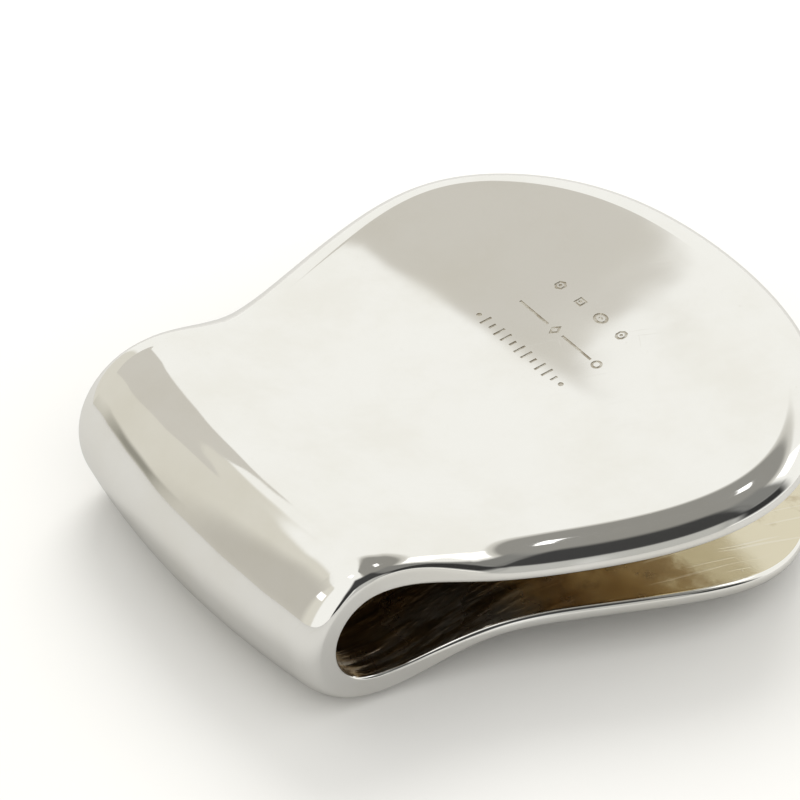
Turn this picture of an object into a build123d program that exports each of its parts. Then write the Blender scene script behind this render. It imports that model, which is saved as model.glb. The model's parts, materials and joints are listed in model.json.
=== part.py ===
from build123d import *
import os
from math import asin, cos, sin

# Money clip, folded from one thick silver blank. Millimetres, +Z up.
#
# X runs along the clip from the back of the fold to the mouth, Y runs across it, and the clip lies on
# its lower leaf. The origin is on the surface that it lies on, under the middle of its outline.
# The blank is divided where its job changes, into a lower leaf, a tear-drop fold that is the spring,
# and an upper leaf. The three solids meet face to face, square to the sheet.

# ---- driving dimensions ----
LENGTH = 44.5  # from the ends of the fold's back to the tip of a leaf
LOBE_WIDTH = 41.2  # across the round lobe of a leaf
FOLD_WIDTH = 28.1  # across the fold
SHEET = 2.1  # thickness of the silver
FOLD_HEIGHT = 10.9  # outside height of the tear-drop fold
PINCH_GAP = 2.9  # clear gap where the two leaves come closest
FOLD_BOW = 1.5  # how far the back of the fold bulges out between its ends
LEAF_SLOPE = 0.16  # rise of a leaf's flat end, for each millimetre towards the mouth
SEAM_AT = 11.5  # from the back of the fold to where each leaf begins
FLAT_FROM = 34.0  # from the back of the fold to where each leaf becomes flat
OUTER_ROUND = 0.55 * SHEET  # edge round on the outer faces
INNER_ROUND = 0.42 * SHEET  # edge round on the inner faces
REST_TILT = 1.45  # degrees that the clip leans back, with its fold and its lower tip on the table
FOLD_SECTIONS = 17  # sections that the fold is lofted through
LEAF_STATIONS = 10  # points along the curved part of each face of a leaf

DEGREE = 3
CURVE_END = 1.0  # a curve's parameter runs from 0 to 1
FOLD_BACK = 0.5  # the side view's parameter at the back of the fold
LOBE_TIP = 0.5  # the outline's parameter at the tip of the lobe
CROWN = (FOLD_HEIGHT - SHEET) / 2  # height of the sheet's middle line over the clip's middle, at the fold
PINCH = (PINCH_GAP + SHEET) / 2  # the same, where the leaves come closest


def clamped_knots(pole_count):
    """Knots of a cubic B-spline that starts and ends on its end poles."""
    last = pole_count - DEGREE
    return [0] * DEGREE + list(range(last + 1)) + [last] * DEGREE


def symmetric_spline(half, mirrored):
    """A smooth spline through a mirrored half and then the half itself."""
    poles = mirrored + half
    return BSpline(poles, clamped_knots(len(poles)), DEGREE)


def point_at(curve, u):
    return curve.position_at(u, position_mode=PositionMode.PARAMETER)


def parameter_at_x(curve, x, low, high):
    """The parameter, between low and high, at which the curve passes x. X grows with it there."""
    for _ in range(40):
        middle = (low + high) / 2
        if point_at(curve, middle).X < x:
            low = middle
        else:
            high = middle
    return (low + high) / 2


# ---- side view: the sheet's middle line ----
# The poles go round the fold, down to the pinch, and out along the straight end of the leaf.
flare_start = (26.0, 1.12 * PINCH)
side_half = [
    (0.95, 0.40 * CROWN),
    (3.45, 1.035 * CROWN),
    (7.80, 1.02 * CROWN),
    (13.2, PINCH),
    (19.5, 0.985 * PINCH),
]
side_half += [(x, flare_start[1] + LEAF_SLOPE * (x - flare_start[0])) for x in (26.0, 32.5, 39.5, 46.5)]
side_upper = [(x, 0, z) for x, z in side_half]
side_lower = [(x, 0, -z) for x, z in reversed(side_half)]
side = symmetric_spline(side_upper, side_lower)
upper_seam = parameter_at_x(side, SEAM_AT, FOLD_BACK, CURVE_END)
lower_seam = CURVE_END - upper_seam
flat_start = parameter_at_x(side, FLAT_FROM, FOLD_BACK, CURVE_END)


def sheet_tangent(u):
    return side.tangent_at(u, position_mode=PositionMode.PARAMETER)


def sheet_point(u, offset):
    """A point beside the middle line. A positive offset is on the outside of the fold."""
    tangent = sheet_tangent(u)
    outward = Vector(-tangent.Z, 0, tangent.X)
    return point_at(side, u) + outward * offset


# ---- plan view: the outline of a leaf ----
fold_half = FOLD_WIDTH / 2
lobe_half = LOBE_WIDTH / 2
outline_half = [
    (-1.5, fold_half),
    (4.6, 0.975 * fold_half),
    (11.9, 1.07 * fold_half),
    (20.3, 0.898 * lobe_half),
    (29.7, 1.04 * lobe_half),
    (37.3, 0.937 * lobe_half),
    (LENGTH + 0.3, 0.456 * lobe_half),
]
near_half = [(x, -y) for x, y in outline_half]
far_half = [(x, y) for x, y in reversed(outline_half)]
outline = symmetric_spline(far_half, near_half)


def half_width(x):
    """Half of the clip's width at x, read off the near side of the outline."""
    return -point_at(outline, parameter_at_x(outline, x, 0, LOBE_TIP)).Y


# ---- the fold ----
def fold_section(u):
    """The sheet's section across the fold: a slot shape, bowed out where the fold's back bulges."""
    middle = point_at(side, u)
    outward = sheet_point(u, 1) - middle
    across = Vector(0, 1, 0)
    reach = half_width(max(middle.X, 0)) - SHEET / 2
    bulge = max(0.02, -outward.X * FOLD_BOW)
    radius = (reach**2 + bulge**2) / (2 * bulge)
    angle = asin(reach / radius)

    def on_arc(arc_radius, turn):
        rise = arc_radius * cos(turn) - radius + bulge
        return middle + across * (arc_radius * sin(turn)) + outward * rise

    def rim_point(sign):
        away = across * (sign * cos(angle)) - outward * sin(angle)
        return on_arc(radius, sign * angle) + away * (SHEET / 2)

    outer = radius + SHEET / 2
    inner = radius - SHEET / 2
    edges = [
        ThreePointArc(on_arc(outer, -angle), on_arc(outer, 0), on_arc(outer, angle)),
        ThreePointArc(on_arc(outer, angle), rim_point(1), on_arc(inner, angle)),
        ThreePointArc(on_arc(inner, angle), on_arc(inner, 0), on_arc(inner, -angle)),
        ThreePointArc(on_arc(inner, -angle), rim_point(-1), on_arc(outer, -angle)),
    ]
    return Face(Wire(edges))


def make_fold():
    step = (upper_seam - lower_seam) / (FOLD_SECTIONS - 1)
    return loft([fold_section(lower_seam + i * step) for i in range(FOLD_SECTIONS)])


# ---- the leaves ----
def leaf_strip():
    """The side view of a leaf, swept across: curved from the seam on, then flat to the end."""
    step = (flat_start - upper_seam) / (LEAF_STATIONS - 1)
    stations = [upper_seam + i * step for i in range(LEAF_STATIONS)]
    ends = (sheet_tangent(upper_seam), sheet_tangent(CURVE_END))

    def face_line(offset):
        curve = Spline([sheet_point(u, offset) for u in stations], tangents=ends)
        return curve, Line(curve @ 1, sheet_point(CURVE_END, offset))

    outer = face_line(SHEET / 2)
    inner = face_line(-SHEET / 2)
    seam = Line(outer[0] @ 0, inner[0] @ 0)
    tip = Line(outer[1] @ 1, inner[1] @ 1)
    profile = Face(Wire([*outer, tip, *inner, seam]))
    return extrude(profile, amount=LOBE_WIDTH, dir=(0, 1, 0), both=True)


def make_leaf():
    """The upper leaf: a strip of the sheet from the seam on, cut to the outline, with rounded edges."""
    start = point_at(outline, 0)
    end = point_at(outline, CURVE_END)
    plan = Face(Wire([outline, Line(end, start)]))
    blank = leaf_strip() & extrude(plan, amount=FOLD_HEIGHT * 2, dir=(0, 0, 1))

    leaf = blank.solids()[0]
    for radius, face_is_outer in ((OUTER_ROUND, True), (INNER_ROUND, False)):
        rims = [e for e in leaf.edges() if is_rim(e) and is_outer(e) == face_is_outer]
        leaf = leaf.fillet(radius, rims)
    return leaf


def is_rim(edge):
    """True for an edge that follows the leaf's outline: the other ones are straight or short."""
    return edge.geom_type != GeomType.LINE and edge.length > 2 * SHEET


def is_outer(edge):
    """True for an edge above the sheet's middle line, measured halfway along the edge."""
    top = edge @ 0.5
    return top.Z > point_at(side, parameter_at_x(side, top.X, FOLD_BACK, CURVE_END)).Z


# ---- all three nodes, where they lie on the table ----
def make_nodes():
    """The named solids, tilted until the fold and the lower tip rest, with the origin under the middle."""
    upper_leaf = make_leaf()
    solids = {
        "lower_leaf": mirror(upper_leaf, Plane.XY),
        "spring_bend": make_fold(),
        "upper_leaf": upper_leaf,
    }
    tilt = Rot(0, -REST_TILT, 0)
    box = Compound([tilt * solid for solid in solids.values()]).bounding_box()
    place = Pos(-box.center().X, 0, -box.min.Z) * tilt
    print("the middle of the fold's back is at", place.position)
    return {name: place * solid for name, solid in solids.items()}


if __name__ == "__main__":
    os.makedirs("parts", exist_ok=True)
    for name, solid in make_nodes().items():
        print(name, "volume", round(solid.volume, 1), "lowest", round(solid.bounding_box().min.Z, 3))
        export_step(solid, f"parts/{name}.step")
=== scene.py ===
"""A polished silver money clip: two round leaves and the spring fold between them, on a pale table."""

import json
import math

import bmesh
import bpy
import numpy as np
from bpy.props import FloatProperty, FloatVectorProperty, PointerProperty
from mathutils import Matrix, Vector
from mathutils.bvhtree import BVHTree
from mathutils.interpolate import poly_3d_calc

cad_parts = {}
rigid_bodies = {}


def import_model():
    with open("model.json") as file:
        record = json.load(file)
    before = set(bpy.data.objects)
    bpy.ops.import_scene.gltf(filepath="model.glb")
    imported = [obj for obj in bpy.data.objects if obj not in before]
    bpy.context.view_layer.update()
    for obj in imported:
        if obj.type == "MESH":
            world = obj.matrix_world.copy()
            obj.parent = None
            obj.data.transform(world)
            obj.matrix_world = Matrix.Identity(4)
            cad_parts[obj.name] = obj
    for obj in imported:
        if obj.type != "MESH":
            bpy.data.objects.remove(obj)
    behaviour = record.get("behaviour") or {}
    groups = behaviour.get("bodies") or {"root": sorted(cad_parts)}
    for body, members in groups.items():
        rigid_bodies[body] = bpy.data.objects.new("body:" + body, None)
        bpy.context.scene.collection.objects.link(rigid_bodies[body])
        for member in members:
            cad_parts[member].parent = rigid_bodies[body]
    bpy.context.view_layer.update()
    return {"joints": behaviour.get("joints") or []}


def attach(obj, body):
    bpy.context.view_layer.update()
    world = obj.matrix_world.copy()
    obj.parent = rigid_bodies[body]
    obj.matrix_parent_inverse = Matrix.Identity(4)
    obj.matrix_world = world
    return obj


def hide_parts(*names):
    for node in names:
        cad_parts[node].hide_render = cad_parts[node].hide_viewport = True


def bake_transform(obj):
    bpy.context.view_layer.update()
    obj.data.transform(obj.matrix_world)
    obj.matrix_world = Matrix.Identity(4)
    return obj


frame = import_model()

bl_info = {
    "name": "Silver Money Clip",
    "version": (1, 0, 0),
    "blender": (4, 5, 0),
    "location": "3D View > Sidebar > Money Clip",
    "description": "Builds a folded silver money clip and the table that it lies on",
    "category": "Object",
}

MM = 0.001
LOWER_BODY = "lower"
UPPER_BODY = "upper"
JOINT = frame["joints"][0]

# ---- the net of quads
DEGREE = 3
CURVE_SAMPLES = 6000
NEAR_HALF = slice(0, CURVE_SAMPLES // 2)  # the samples of the outline on its near side
SHOULDER_STEPS = 22
FACET_STEPS = 4
INNER_STEPS = 12
ACROSS = 26  # quads across each face, between the rims
LEAF_ROWS = 132
FOLD_ROWS = 120
FACE_IN = 3.4  # millimetres in from the rim at which the faces run straight across
RIM_TRIM = 0.13  # millimetres that the tips' rims stay inside the outline
TRIM_FROM = 20.0  # millimetres along the sheet from the fold's back
TRIM_EASE = 25.0
SEAM_EASE = 6.0  # millimetres of outline over which the rim's steps turn square to it
INSIDE_TOLERANCE = 0.02  # millimetres from the inner face within which a quad is tarnished

# ---- the rim, in millimetres: its size round the fold, and how much more it is on the leaves
SHOULDER_IN = (1.8, 0.5)
SHOULDER_DOWN = (0.85, 0.75)
INNER_ROUND = (0.24, 0.16)
SHOULDER_POWER = (2.0, -0.25)  # power of the superellipse that the shoulder follows
LEAF_RIM_FROM = 7.0  # along the sheet from the fold's back, where the rim starts to change
LEAF_RIM_EASE = 9.0

# ---- the punch marks, in millimetres
MARK_MIDDLE = (30.0, 0.7)  # in the clip's own X and Y
MARK_ROW = 7.6  # length of a row of marks
MARK_ROW_STEP = 3.0
MARK_END_GAP = 0.75  # from a row's end to the dot or ring beyond it
MARK_PROUD = 0.1  # how far the prisms that cut the marks stand over the face
TICKS = 11
STROKE = 0.19  # width of a cut line
DOT = 0.2
SHORT_TICK = 0.6  # length of a short tick, as a share of a long one
LINE_SHIFT = 0.45  # how far the lines beside the lozenge are moved out from it
LINE_SHORTER = 0.35
LOZENGE = (1.15, 0.8)  # reach each way, as shares of half the height of the marks
RING = 0.85
STAMP_ACROSS = 0.85
STAMP_DOT = 0.13
STAMP_STEP = MARK_ROW / 3.4
# The stamps' frames: corners, turn and stretch across. Each has a dot in it.
STAMPS = [(8, math.pi / 8, 1.0), (24, 0.0, 1.45), (4, math.pi / 4, 1.25), (6, 0.0, 1.1)]
SKIN_TURN = 0.9  # cosine of the turn up to which a cut face still counts as the clip's surface

# ---- unevenness of the surfaces, in millimetres
SILVER_WAVE = 0.075
TARNISH_WAVE = 0.08
OXIDE_GRAIN = 0.01

# ---- the camera
SENSOR = 36.0
LENS = 164.2
CAMERA_ANGLES = (-37.237, 37.881, 2.928)  # azimuth, elevation and roll in the clip's own frame, degrees
CAMERA_TARGET = (24.25, 10.156, -5.38)  # millimetres, in the clip's own frame
CAMERA_DISTANCE = 254.75
CAMERA_CLIP = (0.01, 10.0)

# ---- the table and the studio
TABLE_REACH = 0.6
TABLE_MOTTLE = 0.985  # brightness of the table's darker parts
TABLE_SHADE_IN_SILVER = 0.66  # brightness of the table in the silver: painted shade, darker than the table itself
KEY_SIZE = 0.30
KEY_PLACE = (0.22, 0.30, 0.34)
KEY_TARGET = (0.02, 0.03, 0.0)
OPEN_LIGHT = (0.93, 0.93, 0.90)
CARD_SQUARENESS = 14.0
TABLE_QUADS = 8  # quads along each side of the table top
# What stands round the table, seen only in the silver: name, azimuth and elevation of its middle and
# the reach each way in degrees, softness of its edge, and colour.
STUDIO_CARDS = [
    ("left_wall", 134, 20, 57, 36, 0.04, (0.70, 0.68, 0.61)),
    ("left_shade", 154, 22, 15, 28, 0.5, (0.52, 0.50, 0.45)),
    ("grey_panel", 85, 40, 23.6, 7.7, 0.03, (0.61, 0.59, 0.54)),
    ("cornice", -15, 90, 78, 38, 0.06, (0.63, 0.62, 0.58)),
    ("ceiling", -15, 90, 74, 33.5, 0.07, (0.29, 0.285, 0.265)),
    ("side_shade", -55, 47, 15, 15, 0.3, (0.22, 0.22, 0.21)),
    ("maker", -93, 47, 25, 20, 0.2, (0.05, 0.05, 0.05)),
    ("maker_arm", -108, 15, 8, 22, 0.3, (0.035, 0.035, 0.035)),
    ("maker_shirt", -86, 13, 10, 18, 0.2, (0.50, 0.50, 0.48)),
    ("shelf_line", -58, 20, 17, 13, 0.4, (0.035, 0.035, 0.035)),
    ("wall_smudge", 130, 4, 6, 4, 0.7, (0.30, 0.29, 0.25)),
    ("window_right", -20, 46, 13, 6, 0.15, (1.5, 1.5, 1.5)),
    ("window_left", 176, 38, 9, 4, 0.3, (1.8, 1.8, 1.8)),
    ("lamp_high", -5, 73, 13, 1.6, 0.3, (2.0, 2.0, 2.0)),
    ("lamp_top", -160, 79, 15, 2.6, 0.3, (2.2, 2.2, 2.2)),
]


# ------------------------------------------------------------------ settings


class ClipSizes(bpy.types.PropertyGroup):
    """Sizes of the clip and of its edges."""

    length: FloatProperty(
        name="Length", description="From the ends of the fold's back to the tip of a leaf",
        default=44.5 * MM, unit="LENGTH",
    )
    lobe_width: FloatProperty(
        name="Lobe Width", description="Across the round lobe of a leaf",
        default=41.2 * MM, unit="LENGTH",
    )
    fold_width: FloatProperty(
        name="Fold Width", description="Across the fold",
        default=28.1 * MM, unit="LENGTH",
    )
    sheet: FloatProperty(
        name="Sheet", description="Thickness of the silver",
        default=2.1 * MM, unit="LENGTH",
    )
    fold_height: FloatProperty(
        name="Fold Height", description="Outside height of the tear-drop fold",
        default=10.9 * MM, unit="LENGTH",
    )
    pinch_gap: FloatProperty(
        name="Pinch Gap", description="Clear gap where the leaves come closest",
        default=2.9 * MM, unit="LENGTH",
    )
    fold_bow: FloatProperty(
        name="Fold Bow", description="How far the back of the fold bulges out between its ends",
        default=1.5 * MM, unit="LENGTH",
    )
    leaf_slope: FloatProperty(
        name="Leaf Slope", description="Rise of a leaf's flat end for each unit of its length",
        default=0.16,
    )
    seam_at: FloatProperty(
        name="Seam", description="From the back of the fold to where each leaf begins",
        default=11.5 * MM, unit="LENGTH",
    )
    rest_tilt: FloatProperty(
        name="Rest Tilt", description="Lean of the clip when its fold and its lower tip rest",
        default=math.radians(1.45), subtype="ANGLE",
    )


class ClipFinish(bpy.types.PropertyGroup):
    """Colours and finish of the silver, and the size of its punch marks."""

    silver: FloatVectorProperty(
        name="Silver", description="Colour of the polished silver",
        subtype="COLOR", size=3, min=0.0, max=1.0, default=(0.95, 0.94, 0.91),
    )
    # this colour also gives the painted sheen along the crease ridges of the tarnish
    haze: FloatVectorProperty(
        name="Haze", description="Colour of the silver where handling has dulled it",
        subtype="COLOR", size=3, min=0.0, max=1.0, default=(0.88, 0.86, 0.80),
    )
    roughness: FloatProperty(
        name="Roughness", description="Roughness of the cleanest silver",
        subtype="FACTOR", min=0.0, max=1.0, default=0.045,
    )
    gilt_tarnish: FloatVectorProperty(
        name="Light Tarnish", description="Colour of thin tarnish on the inner faces",
        subtype="COLOR", size=3, min=0.0, max=1.0, default=(0.40, 0.30, 0.17),
    )
    umber_tarnish: FloatVectorProperty(
        name="Dark Tarnish", description="Colour of thick tarnish inside the fold",
        subtype="COLOR", size=3, min=0.0, max=1.0, default=(0.17, 0.125, 0.075),
    )
    thin_tarnish: FloatVectorProperty(
        name="Thin Tarnish", description="Colour of the cleanest parts of the inner faces",
        subtype="COLOR", size=3, min=0.0, max=1.0, default=(0.74, 0.68, 0.52),
    )
    mark: FloatVectorProperty(
        name="Mark", description="Colour of the oxide in the punch marks",
        subtype="COLOR", size=3, min=0.0, max=1.0, default=(0.56, 0.51, 0.42),
    )
    mark_height: FloatProperty(
        name="Mark Height", description="Height of the punch marks",
        default=0.95 * MM, unit="LENGTH",
    )
    mark_depth: FloatProperty(
        name="Mark Depth", description="Depth of the punch marks",
        default=0.05 * MM, unit="LENGTH",
    )


class StageLook(bpy.types.PropertyGroup):
    """The table and the light."""

    table: FloatVectorProperty(
        name="Table", description="Colour of the table under the clip",
        subtype="COLOR", size=3, min=0.0, max=1.0, default=(0.86, 0.85, 0.82),
    )
    backdrop: FloatVectorProperty(
        name="Backdrop", description="Plain light round the table, for all but the silver's reflections",
        subtype="COLOR", size=3, min=0.0, max=1.0, default=(1.0, 1.0, 0.99),
    )
    key_power: FloatProperty(
        name="Key Light", description="Power of the soft light over the far side of the table",
        default=1.1, unit="POWER",
    )


def clip_sizes():
    return bpy.context.scene.moneyclip_sizes


def clip_finish():
    return bpy.context.scene.moneyclip_finish


# ------------------------------------------------------------------ shape


def clamped_spline(poles):
    """Points along a cubic B-spline that starts and ends on its end poles, and its unit tangents."""
    poles = np.array(poles, float)
    last = len(poles) - DEGREE
    knots = np.array([0.0] * DEGREE + [float(i) for i in range(last + 1)] + [float(last)] * DEGREE)
    u = np.linspace(0.0, last, CURVE_SAMPLES)
    span = np.clip(np.floor(u).astype(int), 0, last - 1) + DEGREE

    def evaluate(control, degree, index, knot):
        points = [control[index - degree + j] for j in range(degree + 1)]
        for level in range(1, degree + 1):
            for j in range(degree, level - 1, -1):
                low = knot[index - degree + j]
                high = knot[index + 1 + j - level]
                share = ((u - low) / (high - low))[:, None]
                points[j] = (1 - share) * points[j - 1] + share * points[j]
        return points[degree]

    steps = knots[DEGREE + 1:-1] - knots[1:-DEGREE - 1]
    slopes = DEGREE * np.diff(poles, axis=0) / steps[:, None]
    tangents = evaluate(slopes, DEGREE - 1, span - 1, knots[1:-1])
    return evaluate(poles, DEGREE, span, knots), tangents / np.linalg.norm(tangents, axis=1)[:, None]


class Blank:
    """The clip's side view and outline, and the way from a flat place to its bent position.

    Everything here is in millimetres, in the clip's own frame: X from the fold's back towards the
    mouth, Y across, and Z up from the clip's middle plane. A place on the sheet is its distance s
    along the middle line from the back of the fold, its y, and its offset towards the outside.
    """

    def __init__(self, sizes):
        self.sheet = sizes.sheet / MM
        self.bow = sizes.fold_bow / MM
        crown = (sizes.fold_height / MM - self.sheet) / 2
        pinch = (sizes.pinch_gap / MM + self.sheet) / 2
        flare_x = 26.0
        flare_z = 1.12 * pinch
        half = [
            (0.95, 0.40 * crown),
            (3.45, 1.035 * crown),
            (7.80, 1.02 * crown),
            (13.2, pinch),
            (19.5, 0.985 * pinch),
        ]
        half += [(x, flare_z + sizes.leaf_slope * (x - flare_x)) for x in (flare_x, 32.5, 39.5, 46.5)]
        self.side, tangent = clamped_spline([(x, -z) for x, z in reversed(half)] + half)
        self.outward = np.stack([-tangent[:, 1], tangent[:, 0]], axis=1)
        travelled = distance_along(self.side)
        self.s = travelled - travelled[-1] / 2
        self.upper = self.s >= 0
        self.seam_x = sizes.seam_at / MM
        self.seam_s = float(self.s_at(self.seam_x))

        fold_half = sizes.fold_width / MM / 2
        lobe_half = sizes.lobe_width / MM / 2
        outline = [
            (-1.5, fold_half),
            (4.6, 0.975 * fold_half),
            (11.9, 1.07 * fold_half),
            (20.3, 0.898 * lobe_half),
            (29.7, 1.04 * lobe_half),
            (37.3, 0.937 * lobe_half),
            (sizes.length / MM + 0.3, 0.456 * lobe_half),
        ]
        near = [(x, -y) for x, y in outline]
        self.outline, slope = clamped_spline(near + [(x, y) for x, y in reversed(outline)])
        self.inward = np.stack([-slope[:, 1], slope[:, 0]], axis=1)
        self.travelled = distance_along(self.outline)

    def s_at(self, x):
        """Distance along the middle line at which the upper leaf is over x."""
        return np.interp(x, self.side[self.upper, 0], self.s[self.upper])

    def half_width(self, x):
        """Half of the clip's width at x, read off the near side of the outline."""
        return -np.interp(np.maximum(x, 0.0), self.outline[NEAR_HALF, 0], self.outline[NEAR_HALF, 1])

    def bend(self, places):
        """Positions in the clip's own frame of places (s, y, offset) on the sheet."""
        s, y, offset = places[..., 0], places[..., 1], places[..., 2]
        x = np.interp(s, self.s, self.side[:, 0])
        z = np.interp(s, self.s, self.side[:, 1])
        out = np.stack([np.interp(s, self.s, self.outward[:, i]) for i in (0, 1)], axis=-1)
        out /= np.linalg.norm(out, axis=-1, keepdims=True)
        bulge = np.where(np.abs(s) < self.seam_s, np.maximum(0.0, -out[..., 0] * self.bow), 0.0)
        offset = offset + bulge * (1 - np.clip(np.abs(y) / self.half_width(x), 0, 1) ** 2)
        return np.stack([x + out[..., 0] * offset, y, z + out[..., 1] * offset], axis=-1)


def distance_along(points):
    """Distance travelled from the first point to each point."""
    steps = np.linalg.norm(np.diff(points, axis=0), axis=1)
    return np.concatenate([[0.0], np.cumsum(steps)])


def ease(share):
    """A smooth step from 0 to 1."""
    share = min(max(share, 0.0), 1.0)
    return share * share * (3 - 2 * share)


def rim_profile(blank, s):
    """The rim from the outer face round to the inner face, as (distance in from the rim, offset).

    A wide shoulder rolls off the outer face, then comes an upright facet, and a small round leads
    to the inner face. The facet is half of the edge round the fold, and a thin line on the leaves.
    """
    leaf = ease((abs(s) - LEAF_RIM_FROM) / LEAF_RIM_EASE)
    shoulder_in, shoulder_down, inner_round, power = (
        at_fold + more * leaf for at_fold, more in (SHOULDER_IN, SHOULDER_DOWN, INNER_ROUND, SHOULDER_POWER)
    )
    fullness = 2 / power
    trim = RIM_TRIM * ease((abs(s) - TRIM_FROM) / TRIM_EASE)
    top = blank.sheet / 2
    points = []
    for turn in np.linspace(0, math.pi / 2, SHOULDER_STEPS + 1):
        across, down = math.sin(turn) ** fullness, 1 - max(0.0, math.cos(turn)) ** fullness
        points.append((shoulder_in * (1 - across), top - shoulder_down * down))
    facet = np.linspace(top - shoulder_down, inner_round - top, FACET_STEPS + 1)
    points += [(0.0, offset) for offset in facet[1:]]
    for turn in np.linspace(0, math.pi / 2, INNER_STEPS + 1)[1:]:
        points.append((inner_round * (1 - math.cos(turn)), facet[-1] - inner_round * math.sin(turn)))
    return np.array([(FACE_IN, top), *points, (FACE_IN, -top)]) + np.array([trim, 0])


def section(edge, step, profile, s_of):
    """A closed row of places: near rim from outside to inside, inner face, far rim, outer face.

    The near rim starts at the plan point edge, and its points step in along the plan vector step.
    """
    x = edge[0] + step[0] * profile[:, 0]
    y = edge[1] + step[1] * profile[:, 0]
    near = np.stack([s_of(x), y, profile[:, 1]], axis=1)
    share = np.linspace(1, -1, ACROSS + 1)[1:-1, None]
    inner = near[-1] * np.concatenate([share**0, share, share**0], axis=1)
    outer = near[0] * np.concatenate([share**0, -share, share**0], axis=1)
    far = near[::-1] * np.array([1, -1, 1])
    return np.concatenate([near, inner, far, outer])


def leaf_rows(blank):
    """Rows of the upper leaf from the seam to the tip, at even steps along the outline."""
    begin = float(np.interp(blank.seam_x, blank.outline[NEAR_HALF, 0], blank.travelled[NEAR_HALF]))
    rows = []
    for travel in np.linspace(begin, blank.travelled[-1] / 2, LEAF_ROWS + 1):
        edge = [float(np.interp(travel, blank.travelled, blank.outline[:, i])) for i in (0, 1)]
        inward = [float(np.interp(travel, blank.travelled, blank.inward[:, i])) for i in (0, 1)]
        turned = ease((travel - begin) / SEAM_EASE)
        skew = (1 - turned) / inward[1] if turned < 1 else 0.0
        step = (turned * inward[0], turned * inward[1] + skew)
        rows.append(section(edge, step, rim_profile(blank, blank.s_at(edge[0])), blank.s_at))
    rows[-1][:, 1] = 0.0
    return np.array(rows)


def fold_rows(blank):
    """Rows of the fold from the lower seam round to the upper seam."""
    rows = []
    for s in np.linspace(-blank.seam_s, blank.seam_s, FOLD_ROWS + 1):
        x = float(np.interp(s, blank.s, blank.side[:, 0]))
        edge = (x, -float(blank.half_width(x)))
        rows.append(section(edge, (0.0, 1.0), rim_profile(blank, s), lambda around: around * 0 + s))
    return np.array(rows)


class ClipSurface:
    """The whole clip as one closed net of quads, from the lower tip round the fold to the upper tip."""

    def __init__(self, sizes):
        self.blank = Blank(sizes)
        upper = leaf_rows(self.blank)
        lower = upper[::-1] * np.array([-1, 1, 1])
        places = np.concatenate([lower[:-1], fold_rows(self.blank), upper[1:]])
        self.rows, self.loop = places.shape[:2]
        flat = places.reshape(-1, 3)
        rounded = np.round(flat, 7) + 0.0
        _, first, self.ids = np.unique(rounded, axis=0, return_index=True, return_inverse=True)
        self.ids = self.ids.reshape(self.rows, self.loop)
        self.places = flat[first]
        self.lean = tilt(sizes)
        self.points = self.to_world(self.places)
        self.normals = self.vertex_normals()

    def to_world(self, places):
        """Positions on the table, in metres, of places on the sheet."""
        return self.blank.bend(places) @ self.lean.T * MM + np.array(JOINT["pos_m"])

    def quads(self, first_row, last_row):
        """Faces between two rows, as lists of point numbers. Quads at a tip shrink to triangles."""
        faces = []
        for row in range(first_row, last_row):
            for k in range(self.loop):
                after = (k + 1) % self.loop
                near, far = self.ids[row], self.ids[row + 1]
                corners = [near[k], near[after], far[after], far[k]]
                kept = [c for i, c in enumerate(corners) if c != corners[i - 1]]
                if len(kept) > 2:
                    faces.append(kept)
        return faces

    def vertex_normals(self):
        """Unit normals of the points, from the faces round each one."""
        normals = np.zeros_like(self.points)
        for face in self.quads(0, self.rows - 1):
            a, b, c = (self.points[i] for i in (face[0], face[1], face[2]))
            d = self.points[face[-1]]
            area = np.cross(c - a, d - b) if len(face) == 4 else np.cross(b - a, c - a)
            normals[face] += area
        return normals / np.linalg.norm(normals, axis=1)[:, None]

    def cap(self, row, outwards):
        """Faces that close the sheet's section at a row: two rim ends, and quads between them."""
        ids = list(self.ids[row])
        rim = self.loop // 2 - ACROSS + 1
        near = ids[:rim]
        inner = ids[rim - 1:rim + ACROSS]
        far = ids[rim + ACROSS - 1:2 * rim + ACROSS - 1]
        outer = (ids[2 * rim + ACROSS - 2:] + ids[:1])[::-1]
        faces = [near, far]
        faces += [[inner[i], inner[i + 1], outer[i + 1], outer[i]] for i in range(ACROSS)]
        return faces if outwards else [face[::-1] for face in faces]


def tilt(sizes):
    """Rotation from the clip's own frame to the way it lies, as a matrix."""
    lean = sizes.rest_tilt
    return np.array([
        [math.cos(lean), 0, -math.sin(lean)],
        [0, 1, 0],
        [math.sin(lean), 0, math.cos(lean)],
    ])


def make_piece(name, surface, first_row, last_row):
    """A closed mesh of the rows from first_row to last_row, with the whole clip's normals."""
    faces = surface.quads(first_row, last_row)
    skin = len(faces)
    if first_row > 0:
        faces += surface.cap(first_row, False)
    if last_row < surface.rows - 1:
        faces += surface.cap(last_row, True)
    used = sorted({int(i) for face in faces for i in face})
    number = {old: new for new, old in enumerate(used)}
    mesh = bpy.data.meshes.new(name)
    mesh.from_pydata(surface.points[used].tolist(), [], [[number[int(i)] for i in face] for face in faces])
    mesh.polygons.foreach_set("use_smooth", [True] * len(faces))
    mesh.update()
    corner_normals = []
    inside = -surface.blank.sheet / 2 + INSIDE_TOLERANCE
    for polygon in mesh.polygons:
        cap = polygon.index >= skin
        offsets = [surface.places[used[corner], 2] for corner in polygon.vertices]
        polygon.material_index = 1 if not cap and max(offsets) < inside else 0
        for corner in polygon.vertices:
            corner_normals.append(tuple(polygon.normal) if cap else tuple(surface.normals[used[corner]]))
    mesh.normals_split_custom_set(corner_normals)
    mesh.materials.append(polished_silver())
    mesh.materials.append(tarnished_silver())
    piece = bpy.data.objects.new(name, mesh)
    bpy.context.scene.collection.objects.link(piece)
    return piece


# ------------------------------------------------------------------ punch marks


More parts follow.
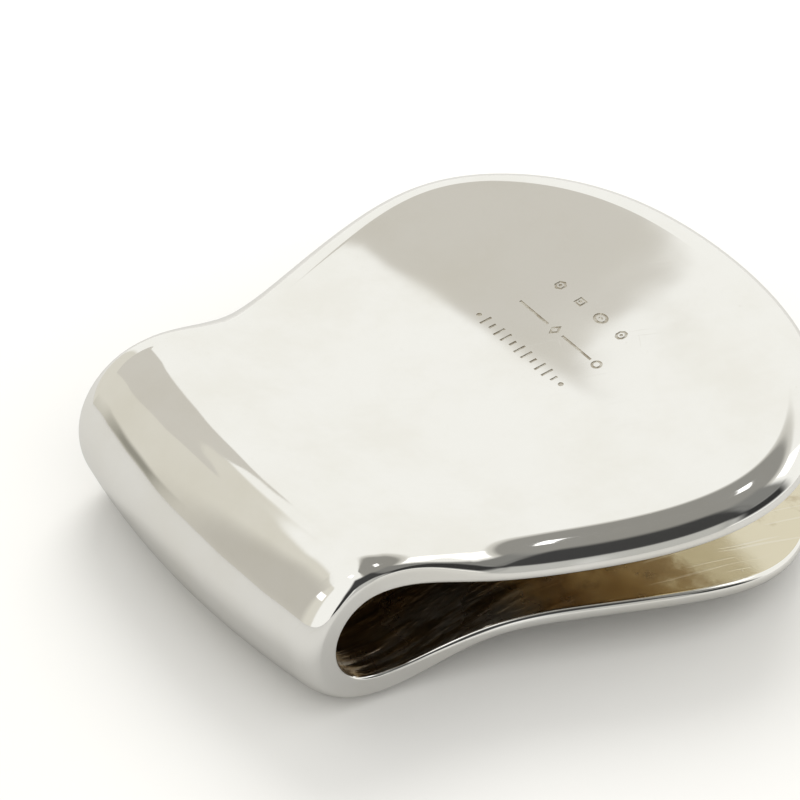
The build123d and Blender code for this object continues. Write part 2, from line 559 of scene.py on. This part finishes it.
def round_outline(x, y, reach_x, reach_y, corners, turn=0.0):
    """A closed outline with its corners on an ellipse, in the clip's own X and Y."""
    angles = [turn + 2 * math.pi * i / corners for i in range(corners)]
    return [(x + reach_x * math.cos(a), y + reach_y * math.sin(a)) for a in angles]


def bar_outline(x, y, reach_x, reach_y):
    """The outline of a bar round the point x, y."""
    corners = [(-1, -1), (1, -1), (1, 1), (-1, 1)]
    return [(x + reach_x * side, y + reach_y * end) for side, end in corners]


def framed(outline, stroke):
    """An outline and a smaller one inside it, for a line that goes round."""
    middle = np.mean(outline, axis=0)
    outer = np.array(outline)
    away = outer - middle
    return outer, middle + away * (1 - stroke / np.linalg.norm(away, axis=1).min())


def mark_outlines(height):
    """Pairs of an outer outline and an inner one, or None, for three rows of plain marks."""
    half = height / 2
    row_x = [MARK_MIDDLE[0] + MARK_ROW_STEP * i for i in (-1, 0, 1)]
    middle_y = MARK_MIDDLE[1]
    shapes = []
    for i in range(TICKS):
        share = i / (TICKS - 1) - 0.5
        reach = half * (1.0 if i % 3 else SHORT_TICK)
        shapes.append((bar_outline(row_x[0], middle_y + share * MARK_ROW, reach, STROKE / 2), None))
    for side in (-1, 1):
        dot = round_outline(row_x[0], middle_y + side * (MARK_ROW / 2 + MARK_END_GAP), DOT, DOT, 12)
        shapes.append((dot, None))
        line_y = middle_y + side * (MARK_ROW / 4 + LINE_SHIFT)
        shapes.append((bar_outline(row_x[1], line_y, STROKE / 2, MARK_ROW / 4 - LINE_SHORTER), None))
    lozenge = round_outline(row_x[1], middle_y, LOZENGE[0] * half, LOZENGE[1] * half, 4)
    end_y = middle_y - MARK_ROW / 2 - MARK_END_GAP
    ring = round_outline(row_x[1], end_y, RING * half, RING * half, 20)
    shapes += [framed(lozenge, STROKE), framed(ring, STROKE)]
    for i, (corners, turn, stretch) in enumerate(STAMPS):
        y = middle_y + (i - 1.5) * STAMP_STEP
        stamp = round_outline(row_x[2], y, half, half * stretch * STAMP_ACROSS, corners, turn)
        shapes.append(framed(stamp, STROKE))
        shapes.append((round_outline(row_x[2], y, STAMP_DOT, STAMP_DOT * stretch, 10), None))
    return shapes


def mark_cutter(surface, finish):
    """Closed prisms that cut the marks into the upper leaf's outer face."""
    blank = surface.blank
    net = bmesh.new()
    levels = (blank.sheet / 2 - finish.mark_depth / MM, blank.sheet / 2 + MARK_PROUD)

    def ring(outline):
        outline = np.array(outline)
        s = blank.s_at(outline[:, 0])
        loops = [surface.to_world(np.stack([s, outline[:, 1], s * 0 + level], axis=1)) for level in levels]
        return [[net.verts.new(point) for point in loop] for loop in loops]

    for outer, inner in mark_outlines(finish.mark_height / MM):
        low, high = ring(outer)
        count = len(low)
        after = [(i + 1) % count for i in range(count)]
        for i in range(count):
            net.faces.new([low[i], low[after[i]], high[after[i]], high[i]])
        if inner is None:
            net.faces.new(low[::-1])
            net.faces.new(high)
            continue
        low_in, high_in = ring(inner)
        for i in range(count):
            net.faces.new([low_in[after[i]], low_in[i], high_in[i], high_in[after[i]]])
            net.faces.new([low[after[i]], low[i], low_in[i], low_in[after[i]]])
            net.faces.new([high[i], high[after[i]], high_in[after[i]], high_in[i]])
    mesh = bpy.data.meshes.new("mark_cutter")
    net.to_mesh(mesh)
    net.free()
    mesh.materials.append(mark_oxide())
    cutter = bpy.data.objects.new("mark_cutter", mesh)
    bpy.context.scene.collection.objects.link(cutter)
    return cutter


def cut_marks(piece, surface):
    """Cut the marks into the piece, and give the rest of it the whole clip's normals again."""
    cutter = mark_cutter(surface, clip_finish())
    boolean = piece.modifiers.new("marks", "BOOLEAN")
    boolean.operation = "DIFFERENCE"
    boolean.solver = "EXACT"
    boolean.material_mode = "TRANSFER"
    boolean.object = cutter
    view = bpy.context.evaluated_depsgraph_get()
    uncut = piece.data
    mesh = bpy.data.meshes.new_from_object(piece.evaluated_get(view))
    piece.modifiers.clear()
    piece.data = mesh
    bpy.data.meshes.remove(uncut)
    mesh.name = piece.name
    cutter_mesh = cutter.data
    bpy.data.objects.remove(cutter)
    bpy.data.meshes.remove(cutter_mesh)
    quads = surface.quads(0, surface.rows - 1)
    points = [Vector(point) for point in surface.points]
    skin = BVHTree.FromPolygons(points, quads)
    oxide = [m.name for m in mesh.materials].index(mark_oxide().name)
    normals = []
    for polygon in mesh.polygons:
        for corner in polygon.vertices:
            place = mesh.vertices[corner].co
            near, _, face, _ = skin.find_nearest(place)
            weights = poly_3d_calc([points[i] for i in quads[face]], near)
            blended = sum((Vector(surface.normals[i]) * w for i, w in zip(quads[face], weights)), Vector())
            smooth = blended.normalized()
            on_skin = polygon.material_index != oxide and smooth.dot(polygon.normal) > SKIN_TURN
            normals.append(smooth if on_skin else polygon.normal.copy())
    mesh.normals_split_custom_set(normals)


# ------------------------------------------------------------------ materials


class Nodes:
    """A node tree, with short ways to add nodes and join them."""

    def __init__(self, tree):
        self.tree = tree

    def add(self, kind, inputs=None, **settings):
        node = self.tree.nodes.new("ShaderNode" + kind)
        for key, value in settings.items():
            setattr(node, key, value)
        for key, value in (inputs or {}).items():
            self.feed(node.inputs[key], value)
        return node

    def feed(self, socket, value):
        if isinstance(value, bpy.types.NodeSocket):
            self.tree.links.new(value, socket)
        else:
            socket.default_value = value

    def math(self, operation, *values):
        return self.add("Math", dict(enumerate(values)), operation=operation).outputs[0]

    def noise(self, vector, **inputs):
        return self.add("TexNoise", {"Vector": vector, **inputs}).outputs["Fac"]

    def bump(self, height, depth):
        """A normal bent by a height from 0 to 1, of which 1 is this many millimetres."""
        inputs = {"Height": height, "Strength": 1.0, "Distance": depth * MM}
        return self.add("Bump", inputs).outputs["Normal"]

    def step(self, value, low, high, out_low=0.0, out_high=1.0):
        """A smooth step of the value between low and high."""
        inputs = {"Value": value, "From Min": low, "From Max": high, "To Min": out_low, "To Max": out_high}
        return self.add("MapRange", inputs, interpolation_type="SMOOTHSTEP").outputs["Result"]

    def mix(self, share, low, high):
        """A colour between low and high."""
        node = self.add("Mix", {"Factor": share}, data_type="RGBA")
        self.feed(node.inputs[6], low)
        self.feed(node.inputs[7], high)
        return node.outputs[2]

    def group(self, tree, inputs):
        node = self.add("Group", node_tree=tree)
        for key, value in inputs.items():
            self.feed(node.inputs[key], value)
        return node.outputs


def effect_group(name, inputs, outputs):
    """A new node group: its nodes, what its inputs give, and the sockets of its outputs."""
    tree = bpy.data.node_groups.new(name, "ShaderNodeTree")
    for label, (kind, default) in inputs.items():
        socket = tree.interface.new_socket(label, in_out="INPUT", socket_type="NodeSocket" + kind)
        if default is not None:
            socket.default_value = default
    for label, kind in outputs.items():
        tree.interface.new_socket(label, in_out="OUTPUT", socket_type="NodeSocket" + kind)
    nodes = Nodes(tree)
    start = tree.nodes.new("NodeGroupInput").outputs
    end = tree.nodes.new("NodeGroupOutput").inputs
    return nodes, start, end


def hairline_group():
    """Long thin scratches: a mask that is 1 along each of them."""
    if "hairlines" in bpy.data.node_groups:
        return bpy.data.node_groups["hairlines"]
    inputs = {
        "Position": ("Vector", None),
        "Turn": ("Float", 0.0),
        "Length": ("Float", 6.0),
        "Width": ("Float", 0.05),
        "Rarity": ("Float", 0.7),
    }
    nodes, start, end = effect_group("hairlines", inputs, {"Mask": "Float"})
    turn = {"Vector": start["Position"], "Angle": start["Turn"]}
    turned = nodes.add("VectorRotate", turn, rotation_type="Z_AXIS")
    parts = nodes.add("SeparateXYZ", {"Vector": turned.outputs[0]}).outputs
    along = nodes.math("DIVIDE", parts["X"], start["Length"])
    drift = nodes.noise(turned.outputs[0], Scale=0.11, Detail=1.0)
    drifted = nodes.math("ADD", parts["Y"], nodes.math("MULTIPLY", drift, 1.6))
    across = nodes.math("MULTIPLY", nodes.math("DIVIDE", drifted, start["Width"]), 0.3)
    stretched = nodes.add("CombineXYZ", {"X": along, "Y": across, "Z": parts["Z"]}).outputs[0]
    noise = nodes.noise(stretched, Scale=1.0, Detail=0.0)
    above = nodes.math("ADD", start["Rarity"], 0.07)
    nodes.feed(end["Mask"], nodes.step(noise, start["Rarity"], above))
    return nodes.tree


def haze_group():
    """Handling marks: broad cloudy haze, and a scatter of dust specks."""
    if "handling_haze" in bpy.data.node_groups:
        return bpy.data.node_groups["handling_haze"]
    inputs = {"Position": ("Vector", None), "Cloud Size": ("Float", 7.0), "Speck Size": ("Float", 0.05)}
    nodes, start, end = effect_group("handling_haze", inputs, {"Cloud": "Float", "Specks": "Float"})
    scale = nodes.math("DIVIDE", 1.0, start["Cloud Size"])
    cloud = nodes.noise(start["Position"], Scale=scale, Detail=5.0, Roughness=0.6)
    nodes.feed(end["Cloud"], nodes.step(cloud, 0.35, 0.75))
    cells = nodes.add("TexVoronoi", {"Vector": start["Position"], "Scale": 0.9}, feature="F1")
    chosen = nodes.add("SeparateColor", {"Color": cells.outputs["Color"]}).outputs["Red"]
    size = nodes.math("MULTIPLY", start["Speck Size"], nodes.step(chosen, 0.55, 1.0))
    nodes.feed(end["Specks"], nodes.math("LESS_THAN", cells.outputs["Distance"], size))
    return nodes.tree


def hand_finish_group():
    """The slow unevenness of a surface that was shaped and polished by hand, as a height."""
    if "hand_finish" in bpy.data.node_groups:
        return bpy.data.node_groups["hand_finish"]
    inputs = {"Position": ("Vector", None), "Wave": ("Float", 6.0), "Grain": ("Float", 0.0)}
    nodes, start, end = effect_group("hand_finish", inputs, {"Height": "Float"})
    scale = nodes.math("DIVIDE", 1.0, start["Wave"])
    slow = nodes.noise(start["Position"], Scale=scale, Detail=0.5)
    fine = nodes.noise(start["Position"], Scale=9.0, Detail=2.0)
    nodes.feed(end["Height"], nodes.math("ADD", slow, nodes.math("MULTIPLY", fine, start["Grain"])))
    return nodes.tree


def new_material(name):
    """A material whose Principled shader is plain so far, its nodes, and positions in millimetres."""
    material = bpy.data.materials.new(name)
    material.use_nodes = True
    nodes = Nodes(material.node_tree)
    shader = material.node_tree.nodes["Principled BSDF"]
    place = nodes.add("TexCoord").outputs["Object"]
    scaled = nodes.add("VectorMath", {"Vector": place, "Scale": 1 / MM}, operation="SCALE").outputs[0]
    return material, nodes, shader.inputs, scaled


def opaque(colour):
    """The colour with full alpha."""
    return (*colour, 1.0)


def polished_silver():
    """Bright polished silver with hairlines, a little haze and a few specks of dust."""
    if "polished_silver" in bpy.data.materials:
        return bpy.data.materials["polished_silver"]
    finish = clip_finish()
    material, nodes, shader, place = new_material("polished_silver")
    haze = nodes.group(haze_group(), {"Position": place, "Cloud Size": 8.0, "Speck Size": 0.05})
    long_lines = {"Position": place, "Turn": 0.5, "Length": 5.0, "Width": 0.02, "Rarity": 0.80}
    short_lines = {"Position": place, "Turn": -1.1, "Length": 1.6, "Width": 0.025, "Rarity": 0.82}
    masks = [nodes.group(hairline_group(), settings)["Mask"] for settings in (long_lines, short_lines)]
    lines = nodes.math("MAXIMUM", *masks)
    wear = nodes.math("MAXIMUM", nodes.math("MULTIPLY", lines, 0.35), haze["Specks"])
    dulled = nodes.math("MAXIMUM", nodes.math("MULTIPLY", haze["Cloud"], 0.6), wear)
    nodes.feed(shader["Base Color"], nodes.mix(dulled, opaque(finish.silver), opaque(finish.haze)))
    shader["Metallic"].default_value = 1.0
    cloud_rough = nodes.math("MULTIPLY_ADD", haze["Cloud"], 0.035, finish.roughness)
    nodes.feed(shader["Roughness"], nodes.math("MULTIPLY_ADD", wear, 0.12, cloud_rough))
    x = nodes.add("SeparateXYZ", {"Vector": place}).outputs["X"]
    fold = nodes.step(x, -8.0, -17.0, 0.22, 1.0)
    wave = nodes.group(hand_finish_group(), {"Position": place, "Wave": 5.0, "Grain": 0.004})["Height"]
    uneven = nodes.math("MULTIPLY", wave, fold)
    height = nodes.math("SUBTRACT", uneven, nodes.math("MULTIPLY", lines, 0.001))
    nodes.feed(shader["Normal"], nodes.bump(height, SILVER_WAVE))
    return material


def tarnished_silver():
    """The inner faces: dark umber tarnish in the fold, thinning to golden stains towards the mouth."""
    if "tarnished_silver" in bpy.data.materials:
        return bpy.data.materials["tarnished_silver"]
    finish = clip_finish()
    material, nodes, shader, place = new_material("tarnished_silver")
    parts = nodes.add("SeparateXYZ", {"Vector": place}).outputs
    haze = nodes.group(haze_group(), {"Position": place, "Cloud Size": 3.2, "Speck Size": 0.09})
    broad = nodes.group(haze_group(), {"Position": place, "Cloud Size": 11.0, "Speck Size": 0.0})["Cloud"]
    streak = {"Position": place, "Turn": 0.12, "Length": 9.0, "Width": 0.09, "Rarity": 0.66}
    streaks = nodes.group(hairline_group(), streak)["Mask"]
    inwards = nodes.step(parts["X"], 17.0, -13.0)
    thick = nodes.math("ADD", inwards, nodes.math("MULTIPLY_ADD", broad, 0.7, -0.35))
    thick = nodes.math("ADD", thick, nodes.math("MULTIPLY_ADD", haze["Cloud"], 0.35, -0.17))
    clean = nodes.mix(nodes.step(thick, 0.1, 0.5), opaque(finish.thin_tarnish), opaque(finish.gilt_tarnish))
    coloured = nodes.mix(nodes.step(thick, 0.45, 0.95), clean, opaque(finish.umber_tarnish))
    along_fold = {"Vector": place, "Rotation": (0, 0, 0.1), "Scale": (0.05, 1.1, 1.1)}
    creases = nodes.noise(nodes.add("Mapping", along_fold).outputs[0], Scale=1.0, Detail=3.0)
    deep = nodes.step(parts["X"], 0.0, -9.0)
    edge = nodes.step(nodes.math("ABSOLUTE", parts["Y"]), 9.5, 12.5)
    ridges = nodes.math("MULTIPLY", nodes.step(creases, 0.42, 0.6), nodes.math("MULTIPLY", deep, edge))
    # painted sheen: a lighter colour along the crease ridges near the fold's open sides, standing in for
    # their reflections
    ridge_sheen = nodes.math("MULTIPLY", ridges, 0.6)
    # the hairline scratches are wear; with the painted ridge sheen they turn the tarnish towards the haze
    # colour
    scratches_and_ridge_sheen = nodes.math("MAXIMUM", nodes.math("MULTIPLY", streaks, 0.22), ridge_sheen)
    nodes.feed(shader["Base Color"], nodes.mix(scratches_and_ridge_sheen, coloured, opaque(finish.haze)))
    shader["Metallic"].default_value = 1.0
    rough = nodes.step(thick, 0.0, 1.0, 0.14, 0.34)
    nodes.feed(shader["Roughness"], nodes.math("MULTIPLY_ADD", haze["Specks"], 0.3, rough))
    wave = nodes.group(hand_finish_group(), {"Position": place, "Wave": 3.5, "Grain": 0.05})["Height"]
    scratched = nodes.math("MULTIPLY_ADD", streaks, -0.06, wave)
    creased = nodes.math("MULTIPLY", nodes.math("MULTIPLY", creases, deep), 3.0)
    height = nodes.math("ADD", scratched, creased)
    nodes.feed(shader["Normal"], nodes.bump(height, TARNISH_WAVE))
    return material


def mark_oxide():
    """Dull oxide that fills the punch marks."""
    if "mark_oxide" in bpy.data.materials:
        return bpy.data.materials["mark_oxide"]
    finish = clip_finish()
    material, nodes, shader, place = new_material("mark_oxide")
    haze = nodes.group(haze_group(), {"Position": place, "Cloud Size": 0.7, "Speck Size": 0.0})["Cloud"]
    grain = nodes.group(hand_finish_group(), {"Position": place, "Wave": 0.3, "Grain": 0.5})["Height"]
    nodes.feed(shader["Base Color"], nodes.mix(haze, opaque(finish.mark), opaque(finish.haze)))
    shader["Metallic"].default_value = 1.0
    nodes.feed(shader["Roughness"], nodes.step(haze, 0.0, 1.0, 0.5, 0.32))
    nodes.feed(shader["Normal"], nodes.bump(grain, OXIDE_GRAIN))
    return material


# ------------------------------------------------------------------ operators


class MONEYCLIP_OT_leaves(bpy.types.Operator):
    """Build both leaves"""

    bl_idname = "moneyclip.leaves"
    bl_label = "Leaves"

    def execute(self, context):
        surface = ClipSurface(context.scene.moneyclip_sizes)
        lower = make_piece("lower_leaf_silver", surface, 0, LEAF_ROWS)
        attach(lower, LOWER_BODY)
        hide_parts("lower_leaf")
        upper = make_piece("upper_leaf_silver", surface, LEAF_ROWS + FOLD_ROWS, surface.rows - 1)
        cut_marks(upper, surface)
        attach(upper, UPPER_BODY)
        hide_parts("upper_leaf")
        return {"FINISHED"}


class MONEYCLIP_OT_spring_bend(bpy.types.Operator):
    """Build the fold that joins the leaves and springs them together"""

    bl_idname = "moneyclip.spring_bend"
    bl_label = "Spring Bend"

    def execute(self, context):
        sizes = context.scene.moneyclip_sizes
        bend = make_piece("spring_bend_silver", ClipSurface(sizes), LEAF_ROWS, LEAF_ROWS + FOLD_ROWS)
        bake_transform(bend)
        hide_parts("spring_bend")
        return {"FINISHED"}


def make_camera():
    """The camera, placed in the clip's own frame and then tilted as the clip is."""
    data = bpy.data.cameras.new("camera")
    data.sensor_width = SENSOR
    data.lens = LENS
    camera = bpy.data.objects.new("camera", data)
    bpy.context.scene.collection.objects.link(camera)
    bpy.context.scene.camera = camera
    sizes = clip_sizes()
    azimuth, elevation, roll = (math.radians(a) for a in CAMERA_ANGLES)
    back = Vector((
        math.sin(azimuth) * math.cos(elevation),
        -math.cos(azimuth) * math.cos(elevation),
        math.sin(elevation),
    ))
    right = Vector((math.cos(azimuth), math.sin(azimuth), 0))
    up = back.cross(right)
    turned_right = math.cos(roll) * right + math.sin(roll) * up
    turned_up = -math.sin(roll) * right + math.cos(roll) * up
    lean = Matrix(tilt(sizes).tolist())
    axes = lean @ Matrix((turned_right, turned_up, back)).transposed()
    eye = lean @ (Vector(CAMERA_TARGET) + back * CAMERA_DISTANCE) * MM + Vector(JOINT["pos_m"])
    camera.matrix_world = Matrix.Translation(eye) @ axes.to_4x4()
    data.clip_start, data.clip_end = CAMERA_CLIP


def card_group():
    """A card in front of what is behind it, placed by azimuth and elevation."""
    inputs = {
        "Azimuth": ("Float", 0.0),
        "Elevation": ("Float", 0.0),
        "Behind": ("Color", (0, 0, 0, 1)),
        "At Azimuth": ("Float", 0.0),
        "At Elevation": ("Float", 0.0),
        "Reach Across": ("Float", 10.0),
        "Reach Up": ("Float", 10.0),
        "Softness": ("Float", 0.1),
        "Card": ("Color", (1, 1, 1, 1)),
    }
    nodes, start, end = effect_group("studio_card", inputs, {"Colour": "Color"})
    turn = nodes.math("SUBTRACT", start["Azimuth"], start["At Azimuth"])
    turn = nodes.math("WRAP", turn, 180.0, -180.0)
    across = nodes.math("DIVIDE", turn, start["Reach Across"])
    rise = nodes.math("SUBTRACT", start["Elevation"], start["At Elevation"])
    up = nodes.math("DIVIDE", rise, start["Reach Up"])
    sizes = [nodes.math("ABSOLUTE", value) for value in (across, up)]
    powers = [nodes.math("POWER", size, CARD_SQUARENESS) for size in sizes]
    reach = nodes.math("POWER", nodes.math("ADD", *powers), 1 / CARD_SQUARENESS)
    low = nodes.math("SUBTRACT", 1.0, start["Softness"])
    high = nodes.math("ADD", 1.0, start["Softness"])
    cover = nodes.step(reach, low, high, 1.0, 0.0)
    nodes.feed(end["Colour"], nodes.mix(cover, start["Behind"], start["Card"]))
    return nodes.tree


def light_studio():
    """The studio round the table, as the world, and a soft key light over the table's far side."""
    look = bpy.context.scene.moneyclip_stage
    world = bpy.data.worlds.new("studio")
    bpy.context.scene.world = world
    world.use_nodes = True
    nodes = Nodes(world.node_tree)
    direction = nodes.add("SeparateXYZ", {"Vector": nodes.add("TexCoord").outputs["Generated"]}).outputs
    azimuth = nodes.math("DEGREES", nodes.math("ARCTAN2", direction["Y"], direction["X"]))
    elevation = nodes.math("DEGREES", nodes.math("ARCSINE", direction["Z"]))
    group = card_group()
    seen = opaque(OPEN_LIGHT)
    for _, at_azimuth, at_elevation, across, up, softness, colour in STUDIO_CARDS:
        inputs = {
            "Azimuth": azimuth,
            "Elevation": elevation,
            "Behind": seen,
            "At Azimuth": at_azimuth,
            "At Elevation": at_elevation,
            "Reach Across": across,
            "Reach Up": up,
            "Softness": softness,
            "Card": opaque(colour),
        }
        seen = nodes.group(group, inputs)["Colour"]
    mirrored = nodes.add("LightPath").outputs["Is Glossy Ray"]
    background = world.node_tree.nodes["Background"]
    nodes.feed(background.inputs["Color"], nodes.mix(mirrored, opaque(look.backdrop), seen))
    key = bpy.data.lights.new("key_light", "AREA")
    key.shape = "DISK"
    key.size = KEY_SIZE
    key.energy = look.key_power
    lamp = bpy.data.objects.new("key_light", key)
    bpy.context.scene.collection.objects.link(lamp)
    lamp.location = KEY_PLACE
    lamp.rotation_euler = (Vector(KEY_TARGET) - Vector(KEY_PLACE)).to_track_quat("-Z", "Y").to_euler()
    lamp.visible_glossy = False
    lamp.visible_camera = False


def pale_table():
    """A matt white table top with a faint mottle. The silver mirrors it darker, as painted shade."""
    material, nodes, shader, place = new_material("pale_table")
    colour = bpy.context.scene.moneyclip_stage.table
    mottle = nodes.noise(place, Scale=0.05, Detail=6.0)
    darker = [channel * TABLE_MOTTLE for channel in colour]
    matt = nodes.mix(mottle, opaque(darker), opaque(colour))
    mirrored = nodes.add("LightPath").outputs["Is Glossy Ray"]
    # painted shade: rays from the silver see the table darker than the camera does
    shaded_in_silver = [channel * TABLE_SHADE_IN_SILVER for channel in colour]
    nodes.feed(shader["Base Color"], nodes.mix(mirrored, matt, opaque(shaded_in_silver)))
    shader["Roughness"].default_value = 0.8
    shader["Specular IOR Level"].default_value = 0.2
    return material


class MONEYCLIP_OT_stage(bpy.types.Operator):
    """Set up the table, the light and the camera"""

    bl_idname = "moneyclip.stage"
    bl_label = "Stage"

    def execute(self, context):
        context.scene.view_settings.view_transform = "Standard"
        mesh = bpy.data.meshes.new("table_top")
        net = bmesh.new()
        bmesh.ops.create_grid(net, x_segments=TABLE_QUADS, y_segments=TABLE_QUADS, size=TABLE_REACH)
        net.to_mesh(mesh)
        net.free()
        table = bpy.data.objects.new("table_top", mesh)
        context.scene.collection.objects.link(table)
        mesh.materials.append(pale_table())
        light_studio()
        make_camera()
        return {"FINISHED"}


class MONEYCLIP_PT_panel(bpy.types.Panel):
    """Build the money clip piece by piece"""

    bl_idname = "MONEYCLIP_PT_panel"
    bl_label = "Money Clip"
    bl_space_type = "VIEW_3D"
    bl_region_type = "UI"
    bl_category = "Money Clip"

    def draw(self, context):
        for name in OPERATORS:
            self.layout.operator(name)
        for attribute, group in SETTINGS.items():
            for key in group.__annotations__:
                self.layout.prop(getattr(context.scene, attribute), key)


OPERATORS = ["moneyclip.leaves", "moneyclip.spring_bend", "moneyclip.stage"]
SETTINGS = {
    "moneyclip_sizes": ClipSizes,
    "moneyclip_finish": ClipFinish,
    "moneyclip_stage": StageLook,
}
CLASSES = [
    *SETTINGS.values(),
    MONEYCLIP_OT_leaves,
    MONEYCLIP_OT_spring_bend,
    MONEYCLIP_OT_stage,
    MONEYCLIP_PT_panel,
]


def register():
    for item in CLASSES:
        bpy.utils.register_class(item)
    for attribute, group in SETTINGS.items():
        setattr(bpy.types.Scene, attribute, PointerProperty(type=group))


def unregister():
    for attribute in SETTINGS:
        delattr(bpy.types.Scene, attribute)
    for item in reversed(CLASSES):
        bpy.utils.unregister_class(item)


def main():
    register()
    bpy.ops.moneyclip.leaves()
    bpy.ops.moneyclip.spring_bend()
    bpy.ops.moneyclip.stage()


if __name__ == "__main__":
    main()
